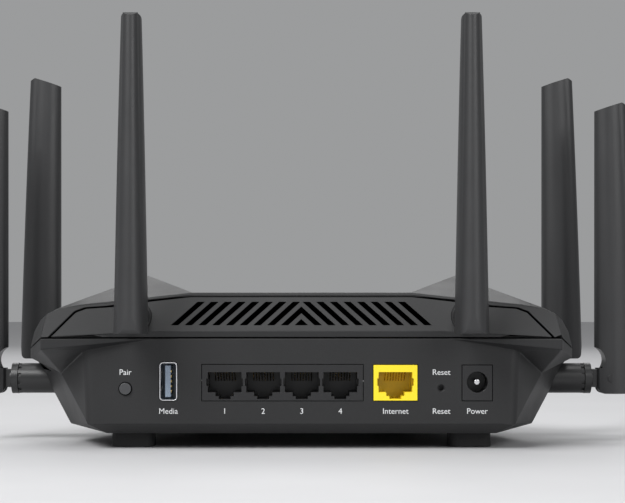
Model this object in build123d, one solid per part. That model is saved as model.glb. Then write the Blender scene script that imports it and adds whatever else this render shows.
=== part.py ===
from build123d import *
import os
from math import radians, tan

# A desktop wireless router: a faceted two-shell case that holds the circuit board and the rear
# sockets, and six folding antennas. Each antenna swivels on a bushing in the case and folds on a pin.
#
# Frame: +Z up, the socket panel faces -Y, origin on the desk under the middle of the whole object.
# Most sizes are given as (x, depth, z), where depth runs forward from the plane of the socket panel.

os.makedirs("parts", exist_ok=True)

# ---- driving dimensions, mm -------------------------------------------------------------------
PANEL_Y = -67.75            # where the socket panel stands in the frame
FLOOR_Z = 5.5               # underside of the case, which stands on its feet
SEAM_GAP = 0.5              # dark line between the two shells
WALL = 2.2                  # case wall
ROOF_DROP = 1.8             # how far the inside of the roof lies below the outside
BOARD_TOP = 17.7            # component side of the circuit board
BOARD_T = 1.6
PANEL_HALF_BOTTOM = 77.3     # half width of the socket panel at its foot and its head
PANEL_HALF_TOP = 78.5
PANEL_FOOT_Z = 9.1
PANEL_FIT = 0.25             # gap round a socket in the panel

GROOVE = 0.45               # gap round the rear grille insert
SLOT_LOW, SLOT_HIGH = 45.0, 53.5
SLOT_W = 2.6
SLOT_PITCH = 5.0
SLOT_LEAN = 9.3             # how far a slot's foot stands further out than its head
SLOTS_A_SIDE = 8

PORT_PITCH = 13.97          # centre to centre of the four network ports
LAN_LEFT, LAN_RIGHT = -36.0, 22.3
LAN_LOW, LAN_HIGH = 17.7, 30.7
LAN_CENTRES = [-27.8 + PORT_PITCH * i for i in range(4)]
WAN_X, WAN_W, WAN_H = 34.1, 15.9, 12.9
JACK_DEPTH = 20.0
USB_X, USB_W, USB_H, USB_T = -48.2, 6.4, 13.9, 0.35
USB_CORNER = 1.3
DC_X, DC_W, DC_H, DC_R = 63.7, 10.8, 12.8, 3.8
DC_Z = 24.4
DC_BORE_DEPTH = 10.0
BUTTON_X, BUTTON_Z, BUTTON_R, BUTTON_HOLE_R = -63.8, 22.0, 2.15, 2.5
RESET_X, RESET_Z, RESET_R, RESET_SINK_R = 50.7, 22.2, 0.95, 1.45

BLADE_TOP = 107.7           # above the hinge pin
BLADE_LOW = -6.0
BLADE_IN, BLADE_OUT, BLADE_OUT_TOP = -6.0, 10.5, 6.3
BLADE_HALF_LOW, BLADE_HALF_TOP = 6.25, 3.6
BLADE_WALL = 1.3
TONGUE_HALF = 2.5           # flat part of the knuckle inside the blade's fork
FORK_GAP = 0.2
FORK_REACH = 4.4
HINGE_PIN_R = 1.6
RUNNING = 0.05              # radial clearance of turning fits
NECK_R, COLLAR_R, BOSS_R, STEM_R = 3.5, 5.95, 5.8, 3.0
FLANGE_R, FLANGE_T = 6.4, 1.5
BUSHING_START = -10.45       # outer end of a bushing, measured from the hinge pin along the stem
LEAD_R = 0.65
LEAD_BORE_R = 1.3

# hinge pin of each antenna: x, depth, z, compass turn of its stem, length of bushing behind the collar
ANTENNAS = {
    "rear_right": (60.4, -14.0, 48.0, -90, 18.0),
    "rear_left": (-60.4, -14.0, 48.0, -90, 18.0),
    "side_right": (120.6, 56.0, 24.0, 0, 23.5),
    "side_left": (-120.6, 56.0, 24.0, 180, 23.5),
    "front_right": (103.5, 85.0, 37.0, 0, 18.0),
    "front_left": (-103.5, 85.0, 37.0, 180, 18.0),
}


# ---- helpers ----------------------------------------------------------------------------------
def at(x, depth, z):
    return (x, PANEL_Y + depth, z)


def block(x0, x1, d0, d1, z0, z1):
    """A box between two corners given as x, depth, z."""
    size = Box(x1 - x0, d1 - d0, z1 - z0)
    return Pos((x0 + x1) / 2, PANEL_Y + (d0 + d1) / 2, (z0 + z1) / 2) * size


def rod_y(x, z, radius, d0, d1):
    """A round bar along the depth direction."""
    bar = Rot(X=90) * Cylinder(radius, d1 - d0)
    return Pos(x, PANEL_Y + (d0 + d1) / 2, z) * bar


def rod_z(x, depth, radius, z0, z1):
    return Pos(x, PANEL_Y + depth, (z0 + z1) / 2) * Cylinder(radius, z1 - z0)


def prism_y(points, d0, d1):
    """A straight prism along the depth direction; points are (x, z)."""
    outline = Polyline(*[(x, z) for x, z in points], close=True)
    sheet = Plane(origin=(0, PANEL_Y + d0, 0), x_dir=(1, 0, 0), z_dir=(0, -1, 0)) * make_face(outline)
    return extrude(sheet, amount=-(d1 - d0))


def mirrored(points):
    return [(-x, d, z) for x, d, z in reversed(points)]


def facet_solid(right_side, middle):
    """A closed solid from flat facets: the right-hand ones are repeated on the left."""
    facets = []
    for points in right_side:
        facets.append(points)
        facets.append(mirrored(points))
    facets.extend(middle)
    faces = []
    for points in facets:
        corners = [Vector(*at(*p)) for p in points]
        faces.append(Face(Wire.make_polygon(corners, close=True)))
    return Solid(Shell(faces))


def across(a, b):
    """The flat strip between a right-hand edge and its mirror image."""
    return [a, b, (-b[0], b[1], b[2]), (-a[0], a[1], a[2])]


def depth_on_plane(p, q, r, x, z):
    """Depth of the point (x, z) on the plane through p, q and r."""
    a = [q[i] - p[i] for i in range(3)]
    b = [r[i] - p[i] for i in range(3)]
    n = [
        a[1] * b[2] - a[2] * b[1],
        a[2] * b[0] - a[0] * b[2],
        a[0] * b[1] - a[1] * b[0],
    ]
    return p[1] - (n[0] * (x - p[0]) + n[2] * (z - p[2])) / n[1]


def inward(drop):
    """Moves a point of the outside to the inside of the wall; drop is added to its height."""

    def move(p):
        return (p[0] * 0.978, 77 + (p[1] - 77) * 0.9714, p[2] + drop)

    return move


def moved(facets, change):
    return [[change(p) for p in points] for points in facets]


def save(name, shape):
    solids = shape.solids() if hasattr(shape, "solids") else [shape]
    if len(solids) == 1:
        export_step(solids[0], f"parts/{name}.step")
    else:
        export_step(Compound(children=list(solids)), f"parts/{name}.step")


# ---- the case's outside -----------------------------------------------------------------------
# the seam runs level across the rear, drops round the widest point and falls towards the front
SEAM = [
    (53.0, 0.0, 40.5),
    (93.7, -6.0, 40.5),
    (102.0, 28.0, 36.5),
    (104.2, 56.0, 33.0),
    (90.0, 82.0, 29.5),
    (60.0, 150.0, 20.0),
    (34.0, 160.0, 19.0),
]


def seam_at(dz):
    return [(x, d, z + dz) for x, d, z in SEAM]


def seam_strips(ring):
    """The seam between the shells; the overhanging rear corners are triangles beside the strips."""
    s1, s2, s3 = ring[:3]
    strips = [across(s1, s3)] + [across(ring[i], ring[i + 1]) for i in range(2, len(ring) - 1)]
    return strips + [[s1, s2, s3], mirrored([s1, s2, s3])]


def tub_facets():
    """Lower shell: socket panel, cut-back corners, raked sides and the rim that overhangs them."""
    s1, s2, s3, s4, s5, s6, s7 = seam_at(-SEAM_GAP / 2)
    panel_low = (PANEL_HALF_BOTTOM, 0.0, PANEL_FOOT_Z)
    panel_high = (PANEL_HALF_TOP, 0.0, 36.0)
    hollow = (90.2, 25.0, 26.9)
    lip_rear = (93.7, -6.0, 36.3)
    lip_side = (102.0, 28.0, 32.6)
    # edge where the raked sides turn under, and the edge of the flat underside
    c4, c5, c6, c7 = (89.1, 46.0, 6.9), (82.0, 86.0, 7.5), (53.0, 145.0, 7.5), (31.0, 153.0, 7.5)
    f1 = (71.0, 6.0, FLOOR_Z)
    f4 = (84.0, 48.0, FLOOR_Z)
    f5 = (77.0, 84.0, FLOOR_Z)
    f6 = (50.0, 142.0, FLOOR_Z)
    f7 = (30.0, 150.0, FLOOR_Z)
    right = [
        [s1, panel_high, lip_rear],
        [s1, lip_rear, s2],
        [panel_high, hollow, lip_rear],
        [lip_rear, hollow, lip_side],
        [lip_rear, lip_side, s3],
        [lip_rear, s3, s2],
        [lip_side, hollow, s4],
        [lip_side, s4, s3],
        [panel_high, panel_low, hollow],
        [panel_low, c4, hollow],
        [hollow, c4, s4],
        [c4, c5, s5],
        [c4, s5, s4],
        [c5, c6, s6],
        [c5, s6, s5],
        [c6, c7, s7],
        [c6, s7, s6],
        [panel_low, f1, c4],
        [f1, f4, c4],
        [f4, f5, c4],
        [f5, c5, c4],
        [f5, f6, c5],
        [f6, c6, c5],
        [f6, f7, c6],
        [f7, c7, c6],
    ]
    middle = [
        [
            panel_low,
            panel_high,
            s1,
            (-s1[0], s1[1], s1[2]),
            (-PANEL_HALF_TOP, 0.0, 36.0),
            (-PANEL_HALF_BOTTOM, 0.0, PANEL_FOOT_Z),
        ],
        across(panel_low, f1),
        [f1, f4, f5, f6, f7] + mirrored([f1, f4, f5, f6, f7]),
        across(f7, c7),
        across(c7, s7),
    ]
    return right, middle + seam_strips([s1, s2, s3, s4, s5, s6, s7])


def cover_facets():
    """Upper shell: rear vent slope, two ridges with a valley between them, and the front slope."""
    s1, s2, s3, s4, s5, s6, s7 = seam_at(SEAM_GAP / 2)
    vent_low = (50.9, 0.0, 42.8)
    vent_high = (40.7, 12.0, 56.0)
    sill = (40.2, 13.2, 57.0)
    wing = [
        (x, depth_on_plane(vent_low, vent_high, s2, x, z), z)
        for x, z in [(92.4, 49.1), (88.8, 50.9), (81.3, 52.4)]
    ]
    w2, w1, w0 = wing
    peak = (60.5, 60.0, 64.2)
    brow = (94.0, 42.0, 51.0)
    cheek = (98.0, 27.0, 47.0)
    jowl = (100.7, 28.5, 42.4)
    flank = (84.0, 86.0, 45.0)
    ridge = (46.0, 118.0, 51.0)
    knee = (57.0, 142.0, 32.0)
    floor1 = (46.0, 60.0, 56.9)
    floor2 = (37.0, 118.0, 46.0)
    floor3 = (34.0, 156.0, 28.0)
    right = [
        [s1, s2, vent_low],
        [vent_low, s2, w2, w1, w0, vent_high],
        [vent_high, w0, sill],
        [sill, w0, peak],
        [w0, w1, peak],
        [w1, brow, peak],
        [w1, w2, cheek],
        [w1, cheek, brow],
        [w2, s2, cheek],
        [cheek, s2, jowl],
        [jowl, s2, s3],
        [jowl, s3, s4],
        [cheek, jowl, s4],
        [cheek, s4, brow],
        [brow, s4, flank],
        [peak, brow, flank],
        [peak, flank, ridge],
        [flank, s4, s5],
        [flank, s5, knee],
        [s5, s6, knee],
        [ridge, flank, knee],
        [s6, s7, knee],
        [knee, s7, floor3],
        [ridge, knee, floor3],
        [sill, peak, floor1],
        [peak, ridge, floor2],
        [peak, floor2, floor1],
        [ridge, floor3, floor2],
    ]
    middle = [
        across(s1, vent_low),
        across(vent_low, vent_high),
        across(vent_high, sill),
        across(sill, floor1),
        across(floor1, floor2),
        across(floor2, floor3),
        across(floor3, s7),
    ]
    return right, middle + seam_strips([s1, s2, s3, s4, s5, s6, s7])


def rounded(shape, radius, x, depth, z):
    """Rounds the edge nearest to a point and its mirror image."""
    edges = shape.edges()
    picked = [edges.sort_by_distance(Vector(*at(side * x, depth, z)))[0] for side in (1, -1)]
    return shape.fillet(radius, picked)


tub_right, tub_middle = tub_facets()
tub_outside = facet_solid(tub_right, tub_middle)
tub_outside = rounded(tub_outside, 4.0, (PANEL_HALF_BOTTOM + PANEL_HALF_TOP) / 2, 0.0, 22.5)
lift = inward(WALL)
tub_inside = facet_solid(moved(tub_right, lift), moved(tub_middle, lift))

cover_right, cover_middle = cover_facets()
cover_outside = facet_solid(cover_right, cover_middle)
drop = inward(-ROOF_DROP)
cover_inside = facet_solid(moved(cover_right, drop), moved(cover_middle, drop))
tub = tub_outside - tub_inside
cover = cover_outside - cover_inside

# ---- rear grille insert -----------------------------------------------------------------------
INSERT_EDGE = [
    (93.1, 38.0),
    (82.2, 49.8),
    (78.5, 51.2),
    (69.3, 51.8),
    (55.0, 53.9),
    (40.9, 55.5),
]


def insert_prism(margin):
    right = [(x + margin, z + margin) for x, z in INSERT_EDGE]
    left = [(-x, z) for x, z in reversed(right)]
    return prism_y(right + left, -12.0, 13.0)


grille = cover & insert_prism(-GROOVE / 2)
cover = cover - insert_prism(GROOVE / 2)


def slanted_slot(foot_x, head_x):
    half = SLOT_W / 2
    points = [
        (foot_x - half, SLOT_LOW),
        (foot_x + half, SLOT_LOW),
        (head_x + half, SLOT_HIGH),
        (head_x - half, SLOT_HIGH),
    ]
    return prism_y(points, -8.0, 24.0)


slots = []
for i in range(SLOTS_A_SIDE):
    foot = 11.1 + SLOT_PITCH * i
    slots.append(slanted_slot(foot, foot - SLOT_LEAN))
    slots.append(slanted_slot(-foot, -(foot - SLOT_LEAN)))
rise = (SLOT_HIGH - SLOT_LOW) / SLOT_LEAN
legs = [
    (4.8, SLOT_LOW),
    (7.4, SLOT_LOW),
    (0.0, SLOT_LOW + 7.4 * rise),
    (-7.4, SLOT_LOW),
    (-4.8, SLOT_LOW),
    (0.0, SLOT_LOW + 4.8 * rise),
]
slots.append(prism_y(legs, -8.0, 24.0))
slots.append(prism_y([(2.4, SLOT_LOW), (0.0, SLOT_LOW + 2.4 * rise), (-2.4, SLOT_LOW)], -8.0, 24.0))
grille = grille - slots

# ---- cut-outs of the socket panel -------------------------------------------------------------


def socket_cut(x0, x1, z0, z1):
    return block(x0 - PANEL_FIT, x1 + PANEL_FIT, -2, 4, z0 - PANEL_FIT, z1 + PANEL_FIT)


def usb_outline(margin, d0, d1):
    """The USB socket's round-cornered outline as a prism, margin larger than the shell."""
    width, height = USB_W + 2 * margin, USB_H + 2 * margin
    middle_z = BOARD_TOP + USB_H / 2
    sheet = Plane(origin=(USB_X, PANEL_Y + d0, middle_z), x_dir=(1, 0, 0), z_dir=(0, -1, 0))
    return extrude(sheet * RectangleRounded(width, height, USB_CORNER + margin), amount=-(d1 - d0))


openings = [
    usb_outline(PANEL_FIT, -2, 4),
    socket_cut(LAN_LEFT, LAN_RIGHT, LAN_LOW, LAN_HIGH),
    socket_cut(WAN_X - WAN_W / 2, WAN_X + WAN_W / 2, BOARD_TOP, BOARD_TOP + WAN_H),
    socket_cut(DC_X - DC_W / 2, DC_X + DC_W / 2, BOARD_TOP, BOARD_TOP + DC_H),
    rod_y(BUTTON_X, BUTTON_Z, BUTTON_HOLE_R, -2, 4),
    rod_y(RESET_X, RESET_Z, RESET_R, -2, 4),
]
sink = Pos(RESET_X, PANEL_Y + 0.25, RESET_Z) * (Rot(X=90) * Cone(RESET_R, RESET_SINK_R, 0.5))
tub = tub - openings - sink

# ---- screw posts, stand-offs and floor vents --------------------------------------------------
CASE_SCREWS = [(70.0, 38.0), (48.0, 122.0)]
BOARD_SCREWS = [(66.0, 62.0), (38.0, 126.0)]
POST_JOIN_Z = 12.0
whole_outside = cover_outside + tub_outside


def screw_post(x, depth):
    """A post of the cover from the roof down to its boss on the lower shell."""
    upper = rod_z(x, depth, 3.8, POST_JOIN_Z, 80.0) & cover_outside
    splice = upper.bounding_box().min.Z + 3.0
    return upper + rod_z(x, depth, 3.8, POST_JOIN_Z, splice)


tub_bosses = []
tub_holes = []
posts = []
post_holes = []
for side in (1, -1):
    for x, depth in CASE_SCREWS:
        tub_bosses.append(rod_z(side * x, depth, 4.2, FLOOR_Z + 0.5, POST_JOIN_Z))
        tub_holes.append(rod_z(side * x, depth, 1.7, FLOOR_Z - 1, POST_JOIN_Z + 1))
        tub_holes.append(rod_z(side * x, depth, 3.0, FLOOR_Z - 1, FLOOR_Z + 3.2))
        posts.append(screw_post(side * x, depth))
        post_holes.append(rod_z(side * x, depth, 1.4, POST_JOIN_Z - 1, POST_JOIN_Z + 13))
    for x, depth in BOARD_SCREWS:
        tub_bosses.append(rod_z(side * x, depth, 3.0, FLOOR_Z + 0.5, BOARD_TOP - BOARD_T))
        tub_holes.append(rod_z(side * x, depth, 1.2, FLOOR_Z + 3, BOARD_TOP + 1))
for i in range(11):
    x = -40.0 + 8.0 * i
    tub_holes.append(block(x - 1.1, x + 1.1, 62, 106, FLOOR_Z - 1, FLOOR_Z + 4))
tub = tub + tub_bosses - tub_holes
cover = cover + posts - post_holes

# roof vents: two fans of slanted slots in the valley
roof_slots = []
for i in range(7):
    low = 22.0 + 5.5 * i
    corners = [(7.0, low + 9.0), (7.0, low + 11.4), (25.0, low + 2.4), (25.0, low)]
    outline = Polyline(*corners, close=True)
    cutter = extrude(Pos(0, PANEL_Y, 50.0) * make_face(outline), amount=14)
    roof_slots.append(cutter)
    roof_slots.append(mirror(cutter, Plane.YZ))
cover = cover - roof_slots

# ---- indicator lights -------------------------------------------------------------------------
LIGHTS = 8
LIGHT_PITCH = 6.4
LIGHT_D = 134.0
BOARD_FRONT = 140.0
columns = []
leds = []
for i in range(LIGHTS):
    x = (i - (LIGHTS - 1) / 2) * LIGHT_PITCH
    columns.append(block(x - 1.4, x + 1.4, LIGHT_D - 0.8, LIGHT_D + 0.8, 19.2, 60.0))
    leds.append(block(x - 0.8, x + 0.8, LIGHT_D - 0.4, LIGHT_D + 0.4, BOARD_TOP, BOARD_TOP + 0.8))
pipe_posts = [column & whole_outside for column in columns]
cover = cover - pipe_posts
light_pipe = block(-26, 26, LIGHT_D - 0.8, LIGHT_D + 0.8, 22.0, 25.0) + pipe_posts

# ---- circuit board ----------------------------------------------------------------------------
board_outline = [
    (72.5, 3.2),
    (76.0, 22.0),
    (76.0, 62.0),
    (70.0, 88.0),
    (46.0, BOARD_FRONT),
]
board_points = board_outline + [(-x, d) for x, d in reversed(board_outline)]
board_sheet = Pos(0, PANEL_Y, BOARD_TOP - BOARD_T) * make_face(Polyline(*board_points, close=True))
main_board = extrude(board_sheet, amount=BOARD_T)
for side in (1, -1):
    for x, depth in CASE_SCREWS:
        main_board -= rod_z(side * x, depth, 4.4, BOARD_TOP - 3, BOARD_TOP + 1)
    for x, depth in BOARD_SCREWS:
        main_board -= rod_z(side * x, depth, 1.7, BOARD_TOP - 3, BOARD_TOP + 1)


def screw(x, depth, head_z, head_r, head_t, shank_r, length, head_below):
    """A cross-recessed screw whose head bears at head_z; the shank points away from the head."""
    sense = -1 if head_below else 1
    head = rod_z(x, depth, head_r, min(head_z, head_z + sense * head_t), max(head_z, head_z + sense * head_t))
    shank = rod_z(x, depth, shank_r, min(head_z, head_z - sense * length), max(head_z, head_z - sense * length))
    top = head_z + sense * head_t
    recess = block(x - 1.3, x + 1.3, depth - 0.3, depth + 0.3, top - 0.9, top + 0.9)
    recess += block(x - 0.3, x + 0.3, depth - 1.3, depth + 1.3, top - 0.9, top + 0.9)
    return head + shank - recess


case_screws = []
board_screws = []
for side in (1, -1):
    for x, depth in CASE_SCREWS:
        case_screws.append(screw(side * x, depth, FLOOR_Z + 3.2, 2.7, 1.8, 1.4, 12.0, True))
    for x, depth in BOARD_SCREWS:
        board_screws.append(screw(side * x, depth, BOARD_TOP, 2.6, 1.6, 1.2, 8.0, False))

# ---- network jacks ----------------------------------------------------------------------------
PORT_W = 12.2
PORT_LOW, PORT_HIGH = 20.7, 28.0
PORT_DEPTH = 15.0


def port_opening(x):
    """The plug opening of one network port: body, side notches and the stepped latch slot."""
    parts = block(x - PORT_W / 2, x + PORT_W / 2, -1, PORT_DEPTH, PORT_LOW, PORT_HIGH)
    parts += block(x - PORT_W / 2 - 0.5, x + PORT_W / 2 + 0.5, -1, 9.0, 23.0, 25.7)
    parts += block(x - 3.3, x + 3.3, -1, PORT_DEPTH, PORT_LOW - 1.4, PORT_LOW + 0.1)
    parts += block(x - 2.15, x + 2.15, -1, PORT_DEPTH, PORT_LOW - 2.5, PORT_LOW - 1.3)
    return parts


CONTACT_PITCH = 1.02


def port_contacts(x):
    """Eight spring contacts that slope back and down from the roof of one port."""
    contacts = []
    for i in range(8):
        cx = x + (i - 3.5) * CONTACT_PITCH
        profile = [
            (2.0, PORT_HIGH + 0.6),
            (2.6, PORT_HIGH + 0.6),
            (9.6, 24.9),
            (10.4, 24.9),
            (10.4, 24.5),
            (9.4, 24.5),
            (2.4, PORT_HIGH - 0.05),
            (2.0, PORT_HIGH - 0.05),
        ]
        side = Plane(origin=(cx - 0.18, PANEL_Y, 0), x_dir=(0, 1, 0), z_dir=(1, 0, 0))
        contacts.append(extrude(side * make_face(Polyline(*profile, close=True)), amount=0.36))
    return contacts


lan_jack_block = block(LAN_LEFT, LAN_RIGHT, -0.25, JACK_DEPTH, LAN_LOW, LAN_HIGH)
lan_contacts = []
for x in LAN_CENTRES:
    lan_jack_block -= port_opening(x)
    lan_contacts += port_contacts(x)
lan_jack_block -= lan_contacts
wan_jack_block = block(
    WAN_X - WAN_W / 2, WAN_X + WAN_W / 2, -0.25, JACK_DEPTH, BOARD_TOP, BOARD_TOP + WAN_H
)
wan_contacts = port_contacts(WAN_X)
wan_jack_block -= port_opening(WAN_X)
wan_jack_block -= wan_contacts

# ---- USB socket -------------------------------------------------------------------------------
USB_Z = BOARD_TOP + USB_H / 2
USB_DEPTH = 14.5
usb_left, usb_right = USB_X - USB_W / 2, USB_X + USB_W / 2
usb_shell = usb_outline(0, -0.3, USB_DEPTH) - usb_outline(-USB_T, -1, USB_DEPTH - 0.4)
for z in (USB_Z - 3.0, USB_Z + 3.0):
    usb_shell -= block(usb_right - 0.6, usb_right + 0.6, 4.5, 9.0, z - 1.0, z + 1.0)
    usb_shell -= block(usb_left - 0.6, usb_left + 0.6, 4.5, 9.0, z - 1.0, z + 1.0)
# the tongue stands off the middle, with the contacts on its open side
TONGUE_LEFT, TONGUE_RIGHT = USB_X - 1.25, USB_X + 0.75
usb_tongue = block(TONGUE_LEFT, TONGUE_RIGHT, 1.2, 12.0, USB_Z - 5.7, USB_Z + 5.7)
usb_tongue += usb_outline(-USB_T, 12.0, USB_DEPTH - 0.4)
usb_contacts = []
for offset in (-3.6, -1.8, 0.0, 1.8, 3.6):
    z = USB_Z + offset
    usb_contacts.append(block(TONGUE_RIGHT - 0.2, TONGUE_RIGHT + 0.25, 2.0, 10.0, z - 0.4, z + 0.4))
usb_tongue -= usb_contacts

# ---- power inlet ------------------------------------------------------------------------------
dc_jack_housing = block(DC_X - DC_W / 2, DC_X + DC_W / 2, -0.3, 14.0, BOARD_TOP, BOARD_TOP + DC_H)
dc_jack_housing -= rod_y(DC_X, DC_Z, DC_R, -1, DC_BORE_DEPTH)
dc_jack_pin = rod_y(DC_X, DC_Z, 1.0, 1.2, DC_BORE_DEPTH)

# ---- pairing button and its switch ------------------------------------------------------------
SWITCH_FACE = 7.0
pair_button_cap = rod_y(BUTTON_X, BUTTON_Z, BUTTON_R, -0.9, 3.2)
pair_button_cap += rod_y(BUTTON_X, BUTTON_Z, 3.3, 2.6, 3.4)
pair_button_cap += rod_y(BUTTON_X, BUTTON_Z, 1.6, 3.4, SWITCH_FACE - 1.2)
pair_switch_plunger = rod_y(BUTTON_X, BUTTON_Z, 1.5, SWITCH_FACE - 1.2, SWITCH_FACE + 1.0)
pair_switch = block(
    BUTTON_X - 3.0, BUTTON_X + 3.0, SWITCH_FACE, SWITCH_FACE + 3.6, BUTTON_Z - 3.0, BUTTON_Z + 3.0
)
pair_switch += block(
    BUTTON_X - 3.0, BUTTON_X + 3.0, SWITCH_FACE, SWITCH_FACE + 3.6, BOARD_TOP, BUTTON_Z - 2.9
)
pair_switch -= rod_y(BUTTON_X, BUTTON_Z, 1.5 + RUNNING, SWITCH_FACE - 1, SWITCH_FACE + 2.2)

# ---- reset switch behind its hole -------------------------------------------------------------
RESET_FACE = 6.0
reset_plunger = rod_y(RESET_X, RESET_Z, 1.2, RESET_FACE - 1.6, RESET_FACE + 1.0)
reset_switch = block(RESET_X - 2.8, RESET_X + 2.8, RESET_FACE, RESET_FACE + 3.6, BOARD_TOP, RESET_Z + 2.6)
reset_switch -= rod_y(RESET_X, RESET_Z, 1.2 + RUNNING, RESET_FACE - 1, RESET_FACE + 2.0)

# ---- parts on the circuit board ---------------------------------------------------------------
HEAT_SINK_W = 44.0
heat_sink = block(-22, 22, 56, 100, 20.7, 23.2)
for i in range(12):
    x = -22 + (HEAT_SINK_W - 1.2) * i / 11
    heat_sink += block(x, x + 1.2, 56, 100, 23.0, 37.0)
processor_chips = [
    block(-10, 10, 68, 88, BOARD_TOP, 20.7),
    block(-42, -30, 36, 48, BOARD_TOP, 19.2),
    block(30, 42, 36, 44, BOARD_TOP, 19.0),
    block(12, 24, 28, 38, BOARD_TOP, 19.0),
]
shield_cans = []
for x0, x1, d0, d1 in [(-62, -34, 66, 104), (34, 62, 66, 92), (-18, 8, 27, 47)]:
    can = block(x0, x1, d0, d1, BOARD_TOP, BOARD_TOP + 3.6)
    can -= block(x0 + 0.4, x1 - 0.4, d0 + 0.4, d1 - 0.4, BOARD_TOP - 1, BOARD_TOP + 3.2)
    shield_cans.append(can)
power_parts = []
for x, depth, radius, height in [(52, 26, 4.0, 11), (62, 22, 3.15, 9), (50, 37, 3.15, 9), (-58, 26, 3.15, 8)]:
    power_parts.append(rod_z(x, depth, radius, BOARD_TOP, BOARD_TOP + height))
for x, depth in [(30, 27), (-32, 28), (30, 52)]:
    power_parts.append(block(x - 3.5, x + 3.5, depth - 3.5, depth + 3.5, BOARD_TOP, BOARD_TOP + 4.2))

# ---- rubber feet ------------------------------------------------------------------------------
FOOT_W, FOOT_D = 15.7, 16.0
feet = []
for x, depth in [(62.3, 20.0), (38.0, 132.0)]:
    for side in (1, -1):
        plan = Pos(side * x, PANEL_Y + depth, 0) * RectangleRounded(FOOT_W, FOOT_D, 3.5)
        feet.append(extrude(plan, amount=FLOOR_Z + 0.8, taper=2.0))
tub = tub - feet

# ---- antenna, drawn with its pin at the origin ------------------------------------------------
# x points out along the stem, y is the pin, z runs up the blade


def blade_section(z, x_in, x_out, half, roundness):
    """A lens-shaped outline with a crest on each face; roundness 0 leaves a crease at the crest."""
    crest = x_in + (x_out - x_in) * 0.45
    edge_in, edge_out = half * 0.68, half * 0.74
    swell_in = (half - edge_in) * 0.30 * roundness
    swell_out = (half - edge_out) * 0.30 * roundness
    nose_in, nose_out = 1.4, 2.8
    left, right = x_in + nose_in, x_out - nose_out
    mid_in, mid_out = (left + crest) / 2, (right + crest) / 2
    up_in = (edge_in + half) / 2 + swell_in
    up_out = (edge_out + half) / 2 + swell_out
    edges = [
        ThreePointArc((left, edge_in), (mid_in, up_in), (crest, half)),
        ThreePointArc((crest, half), (mid_out, up_out), (right, edge_out)),
        ThreePointArc((right, edge_out), (x_out, 0), (right, -edge_out)),
        ThreePointArc((right, -edge_out), (mid_out, -up_out), (crest, -half)),
        ThreePointArc((crest, -half), (mid_in, -up_in), (left, -edge_in)),
        ThreePointArc((left, -edge_in), (x_in, 0), (left, edge_in)),
    ]
    return Pos(0, 0, z) * make_face(Curve() + edges)


def blade_loft(low, high, inset):
    sections = []
    for z, roundness in [(low, 0.25), ((low + high) / 2, 1.0), (high, 1.0)]:
        share = max(0.0, min(1.0, (z - 6.0) / (BLADE_TOP - 6.0)))
        x_out = BLADE_OUT + (BLADE_OUT_TOP - BLADE_OUT) * share
        half = BLADE_HALF_LOW + (BLADE_HALF_TOP - BLADE_HALF_LOW) * max(0.0, z) / BLADE_TOP
        sections.append(blade_section(z, BLADE_IN + inset, x_out - inset, half - inset, roundness))
    return loft(sections)


TOP_SLANT = tan(radians(16))
inner_top = BLADE_TOP - (BLADE_OUT_TOP - BLADE_IN) * TOP_SLANT
profile = (
    Polyline((-2.3, BLADE_LOW), (7.8, BLADE_LOW))
    + ThreePointArc((7.8, BLADE_LOW), (9.25, -5.4), (9.85, -3.95))
    + Polyline(
        (9.85, -3.95),
        (11.5, 8.0),
        (7.6, BLADE_TOP - 1.9),
        (4.4, BLADE_TOP - 0.15),
        (-6.5, inner_top - 0.15),
        (-6.5, 12.2),
    )
    + ThreePointArc((-6.5, 12.2), (-2.4, 7.4), (-3.4, 3.95))
    + Polyline((-3.4, 3.95), (-5.3, 3.95), (-5.3, -3.0))
    + ThreePointArc((-5.3, -3.0), (-4.42, -5.12), (-2.3, BLADE_LOW))
)
side_view = Plane(origin=(0, 9, 0), x_dir=(1, 0, 0), z_dir=(0, -1, 0)) * make_face(profile)
blade = blade_loft(BLADE_LOW - 1.5, BLADE_TOP + 1.5, 0.0) & extrude(side_view, amount=18)
hollow = blade_loft(14.0, BLADE_TOP - 6.5, BLADE_WALL)
ribs = []
for z in (26.0, 58.0, 90.0):
    ribs.append(Pos(1.0, 0, z) * Box(20, 20, 1.2))
strip = Pos(0.6, 0, 56.0) * Box(7.0, 0.8, 76.0)
hollow = hollow - ribs
blade = blade - hollow - strip
fork_gap = TONGUE_HALF + FORK_GAP
fork = Box(FORK_REACH + 20, 2 * fork_gap, FORK_REACH + 20)
fork = Pos((FORK_REACH - 20) / 2, 0, (FORK_REACH - 20) / 2) * fork
hinge_pin = Rot(X=90) * Cylinder(HINGE_PIN_R, 11.7)
blade = blade - fork - hinge_pin
front_cut = Pos(0, -15, 50) * Box(60, 30, 200)
blade_front = blade & front_cut
blade_back = blade - front_cut


def knuckle_shape(stem_length):
    """Fork tongue, neck, collar and the hollow stem that turns in the bushing."""
    tongue = Rot(X=90) * Cylinder(4.0, 2 * TONGUE_HALF)
    tongue += Pos(-3.6, 0, 0) * Box(7.2, 2 * TONGUE_HALF, 2 * NECK_R)
    turned = Pos(-7.5, 0, 0) * (Rot(Y=90) * Cylinder(NECK_R, 1.0))
    turned += Pos(-9.05, 0, 0) * (Rot(Y=90) * Cylinder(COLLAR_R, 2.5))
    stem_end = -10.3 - stem_length - 2.2
    turned += Pos((stem_end - 10.0) / 2, 0, 0) * (Rot(Y=90) * Cylinder(STEM_R, -10.0 - stem_end))
    turned += Pos(stem_end + 0.8, 0, 0) * (Rot(Y=90) * Cylinder(4.0, 1.6))
    shape = tongue + turned
    shape -= Rot(X=90) * Cylinder(HINGE_PIN_R + RUNNING, 8)
    bore = Rot(Y=90) * Cylinder(LEAD_BORE_R, -5.0 - stem_end + 1)
    shape -= Pos((stem_end - 1 - 5.0) / 2, 0, 0) * bore
    return shape


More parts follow.
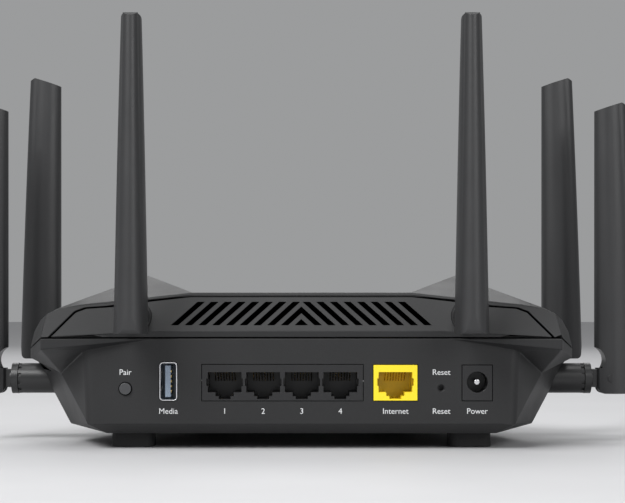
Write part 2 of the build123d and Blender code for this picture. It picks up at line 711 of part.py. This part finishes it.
def bushing_shape(length):
    """Barrel through the case wall, a notched ring by the collar and a flange inside the case."""
    start, end = BUSHING_START, BUSHING_START - length
    barrel = Pos((start + end) / 2, 0, 0) * (Rot(Y=90) * Cylinder(BOSS_R, length))
    barrel += Pos(end + FLANGE_T / 2, 0, 0) * (Rot(Y=90) * Cylinder(FLANGE_R, FLANGE_T))
    barrel -= Pos((start + end) / 2, 0, 0) * (Rot(Y=90) * Cylinder(STEM_R + RUNNING, length + 2))
    notches = []
    for i in range(12):
        tooth = Pos(start - 0.6, BOSS_R, 0) * Box(1.2, 1.2, 1.3)
        notches.append(Rot(X=15 + 30 * i) * tooth)
    return barrel - notches


def bushing_hole(length):
    """What a bushing takes out of the case: its bore and a recess for the flange."""
    end = BUSHING_START - length
    bore = Pos(BUSHING_START - length / 2, 0, 0) * (Rot(Y=90) * Cylinder(BOSS_R, length + 4))
    recess = Pos(end + FLANGE_T - 1.75, 0, 0) * (Rot(Y=90) * Cylinder(FLANGE_R + 0.1, 3.5))
    return bore + recess


def place(antenna):
    x, depth, z, turn, _ = ANTENNAS[antenna]
    return Pos(*at(x, depth, z)) * Rot(Z=turn)


knuckles = {length: knuckle_shape(length) for length in {a[4] for a in ANTENNAS.values()}}
bushings = {length: bushing_shape(length) for length in {a[4] for a in ANTENNAS.values()}}
antenna_bushings = []
for name, (x, depth, z, turn, length) in ANTENNAS.items():
    where = place(name)
    save(f"ant_{name}_blade_front", where * blade_front)
    save(f"ant_{name}_blade_back", where * blade_back)
    save(f"ant_{name}_radiator", where * strip)
    save(f"ant_{name}_pin", where * hinge_pin)
    save(f"ant_{name}_knuckle", where * knuckles[length])
    antenna_bushings.append(where * bushings[length])
    hole = where * bushing_hole(length)
    tub = tub - hole
    cover = cover - hole
    grille = grille - hole

# ---- coaxial leads from the board to the stems ------------------------------------------------
# each leaves a snap-on plug level with the board, rises, and ends inside the hollow stem
LEAD_ROUTES = {
    "rear_right": [(48.0, 56.0, 18.9), (55.0, 56.0, 23.0), (60.4, 38.0, 48.0)],
    "rear_left": [(-48.0, 56.0, 18.9), (-55.0, 56.0, 23.0), (-60.4, 38.0, 48.0)],
    "side_right": [(46.0, 48.0, 18.9), (60.0, 50.0, 20.0), (72.0, 56.0, 24.0)],
    "side_left": [(-46.0, 48.0, 18.9), (-60.0, 50.0, 20.0), (-72.0, 56.0, 24.0)],
    "front_right": [(44.0, 102.0, 18.9), (54.0, 98.0, 21.5), (64.0, 85.0, 37.0)],
    "front_left": [(-42.0, 110.0, 18.9), (-54.0, 106.0, 21.5), (-64.0, 85.0, 37.0)],
}


def coax_lead(name):
    x, depth, z, turn, length = ANTENNAS[name]
    if turn == -90:
        end = at(x, depth + 6.0, z)
    else:
        end = at(x - (6.0 if x > 0 else -6.0), depth, z)
    points = [at(*p) for p in LEAD_ROUTES[name]] + [end]
    runs = [(Vector(*points[i + 1]) - Vector(*points[i])) for i in range(3)]
    bends = []
    for i in range(2):
        turn_angle = runs[i].get_angle(runs[i + 1])
        shorter = min(runs[i].length, runs[i + 1].length)
        bends.append(min(0.45 * shorter / tan(radians(turn_angle / 2)), 40.0))
    path = FilletPolyline(*points, radius=bends)
    print("lead", name, "bends", [round(b, 1) for b in bends], "length", round(path.length, 1))
    lead = sweep(Plane(origin=points[0], z_dir=runs[0]) * Circle(LEAD_R), path=path)
    print("volume over section times length", round(lead.volume / (path.length * 3.14159 * LEAD_R**2), 3))
    plug_x, plug_d, _ = LEAD_ROUTES[name][0]
    return lead + rod_z(plug_x, plug_d, 1.5, BOARD_TOP, BOARD_TOP + 2.2)


coax_leads = [coax_lead(name) for name in ANTENNAS]

# ---- write every piece ------------------------------------------------------------------------
save("bottom_case", tub)
save("top_cover", cover)
save("rear_grille", grille)
save("main_board", main_board)
save("light_pipe", light_pipe)
save("indicator_leds", Compound(children=leds))
save("lan_jack_block", lan_jack_block)
save("lan_contacts", Compound(children=lan_contacts))
save("wan_jack_block", wan_jack_block)
save("wan_contacts", Compound(children=wan_contacts))
save("usb_shell", usb_shell)
save("usb_tongue", usb_tongue)
save("usb_contacts", Compound(children=usb_contacts))
save("dc_jack_housing", dc_jack_housing)
save("dc_jack_pin", dc_jack_pin)
save("pair_button_cap", pair_button_cap)
save("pair_switch_plunger", pair_switch_plunger)
save("pair_switch", pair_switch)
save("reset_plunger", reset_plunger)
save("reset_switch", reset_switch)
save("heat_sink", heat_sink)
save("processor_chips", Compound(children=processor_chips))
save("shield_cans", Compound(children=shield_cans))
save("power_parts", Compound(children=power_parts))
save("rubber_feet", Compound(children=feet))
save("case_screws", Compound(children=case_screws))
save("board_screws", Compound(children=board_screws))
save("antenna_bushings", Compound(children=antenna_bushings))
save("coax_leads", Compound(children=coax_leads))
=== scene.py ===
import math

import bmesh
import bpy
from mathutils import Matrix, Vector


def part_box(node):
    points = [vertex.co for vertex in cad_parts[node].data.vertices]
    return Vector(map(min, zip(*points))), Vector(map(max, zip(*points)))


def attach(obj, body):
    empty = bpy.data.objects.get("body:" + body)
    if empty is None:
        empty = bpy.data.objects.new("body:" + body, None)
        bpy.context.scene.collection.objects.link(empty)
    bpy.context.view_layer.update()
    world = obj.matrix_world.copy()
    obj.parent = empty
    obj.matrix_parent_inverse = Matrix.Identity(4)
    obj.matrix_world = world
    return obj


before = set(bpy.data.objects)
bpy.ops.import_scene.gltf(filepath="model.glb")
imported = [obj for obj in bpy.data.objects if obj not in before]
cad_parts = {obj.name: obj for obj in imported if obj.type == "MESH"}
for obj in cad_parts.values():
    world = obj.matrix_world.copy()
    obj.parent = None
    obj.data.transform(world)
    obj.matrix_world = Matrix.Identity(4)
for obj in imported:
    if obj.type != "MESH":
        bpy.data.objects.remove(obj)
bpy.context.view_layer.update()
MM = 0.001

ANTENNAS = ["rear_right", "rear_left", "side_right", "side_left", "front_right", "front_left"]


class NodeTree:
    """A tree of shader or geometry nodes."""

    def __init__(self, tree):
        self.tree = tree
        self.tree.nodes.clear()

    def add(self, kind, **props):
        node = self.tree.nodes.new(kind)
        for key, value in props.items():
            setattr(node, key, value)
        return node

    def link(self, a, b):
        self.tree.links.new(a, b)


# ---- materials --------------------------------------------------------------------------------
class Shader(NodeTree):
    """A Principled material with helpers for procedural detail in the object's own coordinates."""

    def __init__(self, name, color, rough, metallic=0.0, specular=0.5):
        self.mat = bpy.data.materials.new(name)
        self.mat.use_nodes = True
        super().__init__(self.mat.node_tree)
        out = self.add("ShaderNodeOutputMaterial")
        self.bsdf = self.add("ShaderNodeBsdfPrincipled")
        self.link(self.bsdf.outputs["BSDF"], out.inputs["Surface"])
        self.color = color
        self.rough = rough
        self.bsdf.inputs["Base Color"].default_value = (*color, 1)
        self.bsdf.inputs["Roughness"].default_value = rough
        self.bsdf.inputs["Metallic"].default_value = metallic
        self.bsdf.inputs["Specular IOR Level"].default_value = specular
        self.coords = self.add("ShaderNodeTexCoord").outputs["Object"]
        self.normal = None

    def stretched(self, scale):
        node = self.add("ShaderNodeMapping")
        node.inputs["Scale"].default_value = scale
        self.link(self.coords, node.inputs["Vector"])
        return node.outputs["Vector"]

    def noise(self, size_mm, detail=2.0, roughness=0.5, stretch=None):
        node = self.add("ShaderNodeTexNoise")
        node.inputs["Scale"].default_value = 1000.0 / size_mm
        node.inputs["Detail"].default_value = detail
        node.inputs["Roughness"].default_value = roughness
        self.link(self.stretched(stretch) if stretch else self.coords, node.inputs["Vector"])
        return node.outputs["Fac"]

    def span(self, value, low, high, from_low=0.3, from_high=0.7):
        node = self.add("ShaderNodeMapRange")
        node.inputs["From Min"].default_value = from_low
        node.inputs["From Max"].default_value = from_high
        node.inputs["To Min"].default_value = low
        node.inputs["To Max"].default_value = high
        self.link(value, node.inputs["Value"])
        return node.outputs["Result"]

    def tint(self, value, low, high):
        """Base colour between low and high, by value from 0 to 1."""
        node = self.add("ShaderNodeMix", data_type="RGBA")
        self.link(value, node.inputs[0])
        node.inputs[6].default_value = (*low, 1)
        node.inputs[7].default_value = (*high, 1)
        return node.outputs[2]

    def paint(self, value, spread, from_low=0.3, from_high=0.7):
        low = tuple(c * (1 - spread) for c in self.color)
        high = tuple(min(1.0, c * (1 + spread)) for c in self.color)
        fac = self.span(value, 0.0, 1.0, from_low, from_high)
        self.link(self.tint(fac, low, high), self.bsdf.inputs["Base Color"])

    def gloss(self, value, spread):
        rough = self.span(value, self.rough - spread, self.rough + spread)
        self.link(rough, self.bsdf.inputs["Roughness"])

    def bump(self, value, depth_mm, strength=1.0):
        node = self.add("ShaderNodeBump")
        node.inputs["Strength"].default_value = strength
        node.inputs["Distance"].default_value = depth_mm * MM
        self.link(value, node.inputs["Height"])
        if self.normal is not None:
            self.link(self.normal, node.inputs["Normal"])
        self.normal = node.outputs["Normal"]
        self.link(self.normal, self.bsdf.inputs["Normal"])


def moulded(name, color, rough, grain_mm=0.35, grain_depth=0.02, mottle=0.08, specular=0.5):
    """Moulded plastic with a spark-eroded grain, faint flow mottling and uneven gloss."""
    s = Shader(name, color, rough, specular=specular)
    grain = s.noise(grain_mm, detail=3.0, roughness=0.6)
    cloud = s.noise(18.0, detail=3.0)
    s.paint(grain, mottle)
    s.gloss(cloud, 0.035)
    s.bump(cloud, 0.25, 0.12)
    s.bump(grain, grain_depth)
    return s.mat


def metal(name, color, rough, stretch=None, grain_mm=0.5, depth=0.004, mottle=0.06):
    """Bare or plated metal with a fine grain, which stretch draws out along one axis."""
    s = Shader(name, color, rough, metallic=1.0)
    grain = s.noise(grain_mm, detail=4.0, roughness=0.65, stretch=stretch)
    s.paint(grain, mottle)
    s.gloss(grain, 0.06)
    s.bump(grain, depth)
    return s.mat


SOLDER_MASK = (0.006, 0.045, 0.022)
MASKED_TRACK = (0.02, 0.11, 0.05)


def circuit_board(name):
    """Solder mask over a pattern of copper tracks."""
    s = Shader(name, SOLDER_MASK, 0.32)
    bricks = s.add("ShaderNodeTexBrick")
    bricks.inputs["Scale"].default_value = 220.0
    bricks.inputs["Mortar Size"].default_value = 0.04
    bricks.inputs["Color1"].default_value = (0, 0, 0, 1)
    bricks.inputs["Color2"].default_value = (0, 0, 0, 1)
    bricks.inputs["Mortar"].default_value = (1, 1, 1, 1)
    s.link(s.coords, bricks.inputs["Vector"])
    tracks = bricks.outputs["Color"]
    s.link(s.tint(tracks, SOLDER_MASK, MASKED_TRACK), s.bsdf.inputs["Base Color"])
    s.bump(tracks, 0.03)
    s.gloss(s.noise(4.0), 0.06)
    return s.mat


BLACK = (0.017, 0.0172, 0.018)
MATERIALS = {
    "case": moulded("case_plastic", BLACK, 0.50, grain_mm=0.45, grain_depth=0.03, specular=0.35),
    "grille": moulded(
        "grille_plastic", BLACK, 0.48,
        grain_mm=0.45, grain_depth=0.03, specular=0.35,
    ),
    "antenna": moulded(
        "antenna_plastic", (0.026, 0.0263, 0.0275), 0.42,
        grain_mm=0.35, grain_depth=0.016, specular=0.45,
    ),
    "hinge": moulded(
        "hinge_plastic", (0.019, 0.0193, 0.020), 0.34,
        grain_mm=0.3, grain_depth=0.01,
    ),
    "pin": moulded("pin_plastic", (0.016, 0.016, 0.017), 0.30, grain_mm=0.3, grain_depth=0.008),
    "jack": moulded("jack_plastic", (0.014, 0.014, 0.015), 0.34, grain_mm=0.3, grain_depth=0.01),
    "wan": moulded(
        "wan_plastic", (0.86, 0.68, 0.022), 0.36,
        grain_mm=0.5, grain_depth=0.01, mottle=0.05,
    ),
    "button": moulded(
        "button_plastic", (0.045, 0.046, 0.049), 0.42,
        grain_mm=0.3, grain_depth=0.015,
    ),
    "usb_tongue": moulded(
        "usb_tongue_plastic", (0.22, 0.27, 0.34), 0.38,
        grain_mm=0.3, grain_depth=0.006,
    ),
    "rubber": moulded(
        "rubber", (0.016, 0.016, 0.0165), 0.78,
        grain_mm=0.6, grain_depth=0.05, mottle=0.15,
    ),
    "chip": moulded("chip_epoxy", (0.016, 0.016, 0.017), 0.55, grain_mm=0.25, grain_depth=0.01),
    "parts": moulded("can_sleeve", (0.03, 0.035, 0.06), 0.35, grain_mm=0.6, grain_depth=0.01),
    "light": moulded(
        "light_pipe_plastic", (0.62, 0.66, 0.70), 0.30,
        grain_mm=0.4, grain_depth=0.006,
    ),
    "led": moulded("led_epoxy", (0.80, 0.78, 0.60), 0.25, grain_mm=0.3, grain_depth=0.004),
    "lead": moulded("lead_jacket", (0.022, 0.022, 0.023), 0.50, grain_mm=0.5, grain_depth=0.01),
    "chrome": metal(
        "plated_steel", (0.86, 0.86, 0.88), 0.16,
        stretch=(1.0, 0.08, 1.0), grain_mm=0.6,
    ),
    "steel": metal("zinc_steel", (0.62, 0.62, 0.64), 0.32, grain_mm=0.5),
    "gold": metal("gold_contact", (0.92, 0.66, 0.26), 0.24, stretch=(1.0, 0.1, 1.0), grain_mm=0.4),
    "copper": metal("copper_foil", (0.85, 0.42, 0.22), 0.34, grain_mm=0.8),
    "aluminium": metal(
        "extruded_aluminium", (0.72, 0.73, 0.75), 0.38,
        stretch=(1.0, 0.05, 1.0), grain_mm=0.8,
    ),
    "board": circuit_board("circuit_board"),
    "ink": moulded(
        "label_ink", (0.62, 0.63, 0.64), 0.55,
        grain_mm=0.25, grain_depth=0.004, mottle=0.05,
    ),
}

# node -> (material, bevel in mm, angle in degrees above which an edge is bevelled or left sharp)
LOOKS = {
    "bottom_case": ("case", 0.45, 11),
    "top_cover": ("case", 0.45, 7),
    "rear_grille": ("grille", 0.18, 12),
    "antenna_bushings": ("hinge", 0.2, 35),
    "main_board": ("board", 0.0, 30),
    "light_pipe": ("light", 0.0, 30),
    "indicator_leds": ("led", 0.0, 30),
    "lan_jack_block": ("jack", 0.08, 30),
    "lan_contacts": ("gold", 0.0, 30),
    "wan_jack_block": ("wan", 0.12, 30),
    "wan_contacts": ("gold", 0.0, 30),
    "usb_shell": ("chrome", 0.08, 30),
    "usb_tongue": ("usb_tongue", 0.1, 30),
    "usb_contacts": ("gold", 0.0, 30),
    "dc_jack_housing": ("jack", 0.15, 30),
    "dc_jack_pin": ("chrome", 0.2, 35),
    "pair_switch": ("chip", 0.1, 30),
    "reset_switch": ("chip", 0.1, 30),
    "pair_button_cap": ("button", 0.25, 35),
    "pair_switch_plunger": ("jack", 0.1, 35),
    "reset_plunger": ("jack", 0.1, 35),
    "heat_sink": ("aluminium", 0.1, 30),
    "processor_chips": ("chip", 0.1, 30),
    "shield_cans": ("steel", 0.1, 30),
    "power_parts": ("parts", 0.2, 35),
    "rubber_feet": ("rubber", 0.4, 35),
    "case_screws": ("steel", 0.1, 35),
    "board_screws": ("steel", 0.1, 35),
    "coax_leads": ("lead", 0.0, 40),
}
for name in ANTENNAS:
    LOOKS[f"ant_{name}_blade_front"] = ("antenna", 0.0, 28)
    LOOKS[f"ant_{name}_blade_back"] = ("antenna", 0.0, 28)
    LOOKS[f"ant_{name}_radiator"] = ("copper", 0.0, 30)
    LOOKS[f"ant_{name}_pin"] = ("pin", 0.2, 35)
    LOOKS[f"ant_{name}_knuckle"] = ("hinge", 0.2, 35)


# the pairing button stands this far out of the socket panel
BUTTON_PROUD = 0.9 * MM
PANEL_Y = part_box("pair_button_cap")[0].y + BUTTON_PROUD


def both_sides(low, high):
    """A box and its mirror image across the middle of the router."""
    return [(low, high), ((-high[0], *low[1:]), (-low[0], *high[1:]))]


# boxes on the shells, by low and high corner in mm as x, depth behind the panel and z, where edges
# stay sharp: round sockets and slots, at very short edges beside a corner, and on the hidden posts
SHARP_AREAS = {
    "bottom_case": [
        ((-72, -1, 12), (72, 5, 34)),
        ((-72, 9, 3), (72, 151, 9.2)),
        *both_sides((72, -1, 5), (81, 7, 12)),
        *both_sides((72, -1, 32), (83, 7, 38)),
    ],
    "top_cover": [
        ((-30, 16, 40), (30, 72, 70)),
        ((-30, 128, 15), (30, 140, 60)),
        *both_sides((90.5, -6.5, 40), (93.2, -1.5, 41.2)),
        *both_sides((64, 30, 10), (77, 46, 40)),
        *both_sides((42, 114, 10), (54, 129, 40)),
    ],
    "rear_grille": [],
}


class EdgeNodes(NodeTree):
    """Geometry nodes that shade smooth up to an angle and mark sharper edges for the bevel."""

    def __init__(self, name, angle, areas):
        super().__init__(bpy.data.node_groups.new(name, "GeometryNodeTree"))
        for way in ("INPUT", "OUTPUT"):
            self.tree.interface.new_socket("Geometry", in_out=way, socket_type="NodeSocketGeometry")
        source = self.add("NodeGroupInput")
        target = self.add("NodeGroupOutput")
        bend = self.add("GeometryNodeInputMeshEdgeAngle").outputs["Unsigned Angle"]
        faces = self.add("GeometryNodeSetShadeSmooth", domain="FACE")
        faces.inputs["Shade Smooth"].default_value = True
        self.link(source.outputs["Geometry"], faces.inputs["Geometry"])
        edges = self.add("GeometryNodeSetShadeSmooth", domain="EDGE")
        self.link(faces.outputs["Geometry"], edges.inputs["Geometry"])
        self.link(self.compare(bend, "LESS_EQUAL", angle), edges.inputs["Shade Smooth"])
        marked = self.compare(bend, "GREATER_THAN", angle)
        for low, high in areas:
            marked = self.both(marked, self.outside(low, high))
        store = self.add("GeometryNodeStoreNamedAttribute", data_type="FLOAT", domain="EDGE")
        store.inputs["Name"].default_value = "bevel_weight_edge"
        self.link(edges.outputs["Geometry"], store.inputs["Geometry"])
        self.link(marked, store.inputs["Value"])
        self.link(store.outputs["Geometry"], target.inputs["Geometry"])

    def compare(self, value, operation, limit):
        node = self.add("FunctionNodeCompare", data_type="FLOAT", operation=operation)
        self.link(value, node.inputs[0])
        node.inputs[1].default_value = limit
        return node.outputs["Result"]

    def both(self, a, b):
        node = self.add("FunctionNodeBooleanMath", operation="AND")
        self.link(a, node.inputs[0])
        self.link(b, node.inputs[1])
        return node.outputs["Boolean"]

    def outside(self, low, high):
        """Whether an edge's middle lies outside a box, given in mm as x, depth, z."""
        middle = Vector([(l + h) / 2 * MM for l, h in zip(low, high)])
        middle.y += PANEL_Y
        half = [(h - l) / 2 * MM for l, h in zip(low, high)]
        shift = self.add("ShaderNodeVectorMath", operation="SUBTRACT")
        self.link(self.add("GeometryNodeInputPosition").outputs["Position"], shift.inputs[0])
        shift.inputs[1].default_value = middle
        share = self.add("ShaderNodeVectorMath", operation="DIVIDE")
        self.link(shift.outputs["Vector"], share.inputs[0])
        share.inputs[1].default_value = half
        size = self.add("ShaderNodeVectorMath", operation="ABSOLUTE")
        self.link(share.outputs["Vector"], size.inputs[0])
        split = self.add("ShaderNodeSeparateXYZ")
        self.link(size.outputs["Vector"], split.inputs["Vector"])
        first = self.add("ShaderNodeMath", operation="MAXIMUM")
        self.link(split.outputs["X"], first.inputs[0])
        self.link(split.outputs["Y"], first.inputs[1])
        second = self.add("ShaderNodeMath", operation="MAXIMUM")
        self.link(first.outputs["Value"], second.inputs[0])
        self.link(split.outputs["Z"], second.inputs[1])
        return self.compare(second.outputs["Value"], "GREATER_THAN", 1.0)


# corners this close are joined, in mm, and faces this close to one plane, in degrees
WELD_MM = 0.002
FLAT_ANGLE = 0.6
edge_trees = {}


def edge_tree(node, angle):
    """The edge nodes for a CAD node, shared by nodes with the same angle and no sharp areas."""
    areas = SHARP_AREAS.get(node, [])
    key = node if areas else angle
    if key not in edge_trees:
        edge_trees[key] = EdgeNodes(f"edges_{key}", math.radians(angle), areas).tree
    return edge_trees[key]


def dress(node, material, bevel_mm, angle):
    """Material on a CAD node, with its shading and edges softened by modifiers."""
    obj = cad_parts[node]
    obj.data.materials.clear()
    obj.data.materials.append(MATERIALS[material])
    stored = obj.data.attributes.get("custom_normal")
    if stored is not None:
        obj.data.attributes.remove(stored)
    weld = obj.modifiers.new("weld", "WELD")
    weld.merge_threshold = WELD_MM * MM
    shell = node in SHARP_AREAS
    if bevel_mm and not shell:
        flat = obj.modifiers.new("dissolve", "DECIMATE")
        flat.decimate_type = "DISSOLVE"
        flat.angle_limit = math.radians(FLAT_ANGLE)
    smooth = obj.modifiers.new("smooth", "NODES")
    smooth.node_group = edge_tree(node, angle)
    if bevel_mm:
        bevel = obj.modifiers.new("bevel", "BEVEL")
        bevel.width = bevel_mm * MM
        bevel.segments = 2
        bevel.limit_method = "WEIGHT"
        bevel.miter_outer = "MITER_ARC"
        bevel.use_clamp_overlap = not shell
        bevel.harden_normals = True


for node, look in LOOKS.items():
    dress(node, *look)


# ---- printed labels on the socket panel -------------------------------------------------------
def finish_piece(obj, body, material):
    """Links an added piece, with its material, to the scene and to a body of the frame."""
    obj.data.materials.clear()
    obj.data.materials.append(MATERIALS[material])
    bpy.context.scene.collection.objects.link(obj)
    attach(obj, body)


def centre_x(node):
    low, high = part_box(node)
    return (low.x + high.x) / 2


LABEL_Z = 13.8 * MM
UPPER_LABEL_Z = 27.9 * MM
LABEL_HEIGHT_MM = 2.1
FONT_PER_HEIGHT = 1.38
PORT_PITCH = 13.97 * MM
FIRST_PORT_X = -27.8 * MM


def printed(name, text, x, z):
    """A word or number printed on the panel: a thin flat mesh just proud of the plastic."""
    curve = bpy.data.curves.new(name, "FONT")
    curve.body = text
    curve.align_x = "CENTER"
    curve.align_y = "CENTER"
    curve.size = LABEL_HEIGHT_MM * FONT_PER_HEIGHT * MM
    curve.extrude = 0.01 * MM
    curve.resolution_u = 4
    temp = bpy.data.objects.new(name + "_curve", curve)
    mesh = bpy.data.meshes.new_from_object(temp)
    bpy.data.objects.remove(temp)
    obj = bpy.data.objects.new(name, mesh)
    obj.rotation_euler = (math.radians(90), 0, 0)
    obj.location = (x, PANEL_Y - 0.02 * MM, z)
    finish_piece(obj, "case", "ink")


for i in range(4):
    printed(f"label_{i + 1}", str(i + 1), FIRST_PORT_X + i * PORT_PITCH, LABEL_Z)
printed("label_internet", "Internet", centre_x("wan_jack_block"), LABEL_Z)
reset_x = centre_x("reset_plunger")
printed("label_reset_low", "Reset", reset_x, LABEL_Z)
printed("label_reset_high", "Reset", reset_x, UPPER_LABEL_Z)
printed("label_power", "Power", centre_x("dc_jack_housing"), LABEL_Z)
printed("label_pair", "Pair", centre_x("pair_button_cap"), UPPER_LABEL_Z)
printed("label_media", "Media", centre_x("usb_shell"), LABEL_Z)


# ---- floor, light and camera ------------------------------------------------------------------
def floor():
    """A wide pale disc under the router."""
    mesh = bpy.data.meshes.new("floor")
    bm = bmesh.new()
    bmesh.ops.create_circle(bm, cap_ends=True, segments=96, radius=9.0)
    bm.to_mesh(mesh)
    bm.free()
    obj = bpy.data.objects.new("floor", mesh)
    s = Shader("floor_paint", (0.52, 0.52, 0.53), 0.60)
    s.paint(s.noise(60.0), 0.015)
    mesh.materials.append(s.mat)
    bpy.context.scene.collection.objects.link(obj)


def area_light(name, place, target, size, size_y, power):
    light = bpy.data.lights.new(name, "AREA")
    light.shape = "RECTANGLE"
    light.size = size
    light.size_y = size_y
    light.energy = power
    obj = bpy.data.objects.new(name, light)
    obj.location = place
    obj.rotation_mode = "QUATERNION"
    obj.rotation_quaternion = (Vector(target) - Vector(place)).to_track_quat("-Z", "Y")
    bpy.context.scene.collection.objects.link(obj)


floor()
area_light("key", (-0.75, -1.0, 1.15), (0, 0, 0.05), 0.8, 0.8, 27)
area_light("fill", (0.9, -1.3, 0.75), (0, 0, 0.05), 0.8, 0.8, 9)
area_light("top", (0, 0.0, 1.6), (0, 0, 0), 1.2, 0.8, 7)
area_light("back", (0.0, 1.5, 1.0), (0, 0, 0.05), 1.6, 0.6, 7)
world = bpy.data.worlds.new("studio")
world.use_nodes = True
world.node_tree.nodes["Background"].inputs["Color"].default_value = (0.78, 0.79, 0.80, 1)
world.node_tree.nodes["Background"].inputs["Strength"].default_value = 0.42
bpy.context.scene.world = world
bpy.context.scene.view_settings.view_transform = "Standard"

CAMERA_DISTANCE = 0.700
CAMERA_HEIGHT = 49.8 * MM
camera = bpy.data.cameras.new("camera")
camera.lens = 111.3
camera.sensor_width = 36.0
camera.shift_x = 0.0178
camera.shift_y = 0.0968
camera.clip_start = 0.05
camera.clip_end = 50.0
camera_obj = bpy.data.objects.new("camera", camera)
camera_obj.location = (0, PANEL_Y - CAMERA_DISTANCE, CAMERA_HEIGHT)
camera_obj.rotation_euler = (math.radians(90), 0, 0)
bpy.context.scene.collection.objects.link(camera_obj)
bpy.context.scene.camera = camera_obj
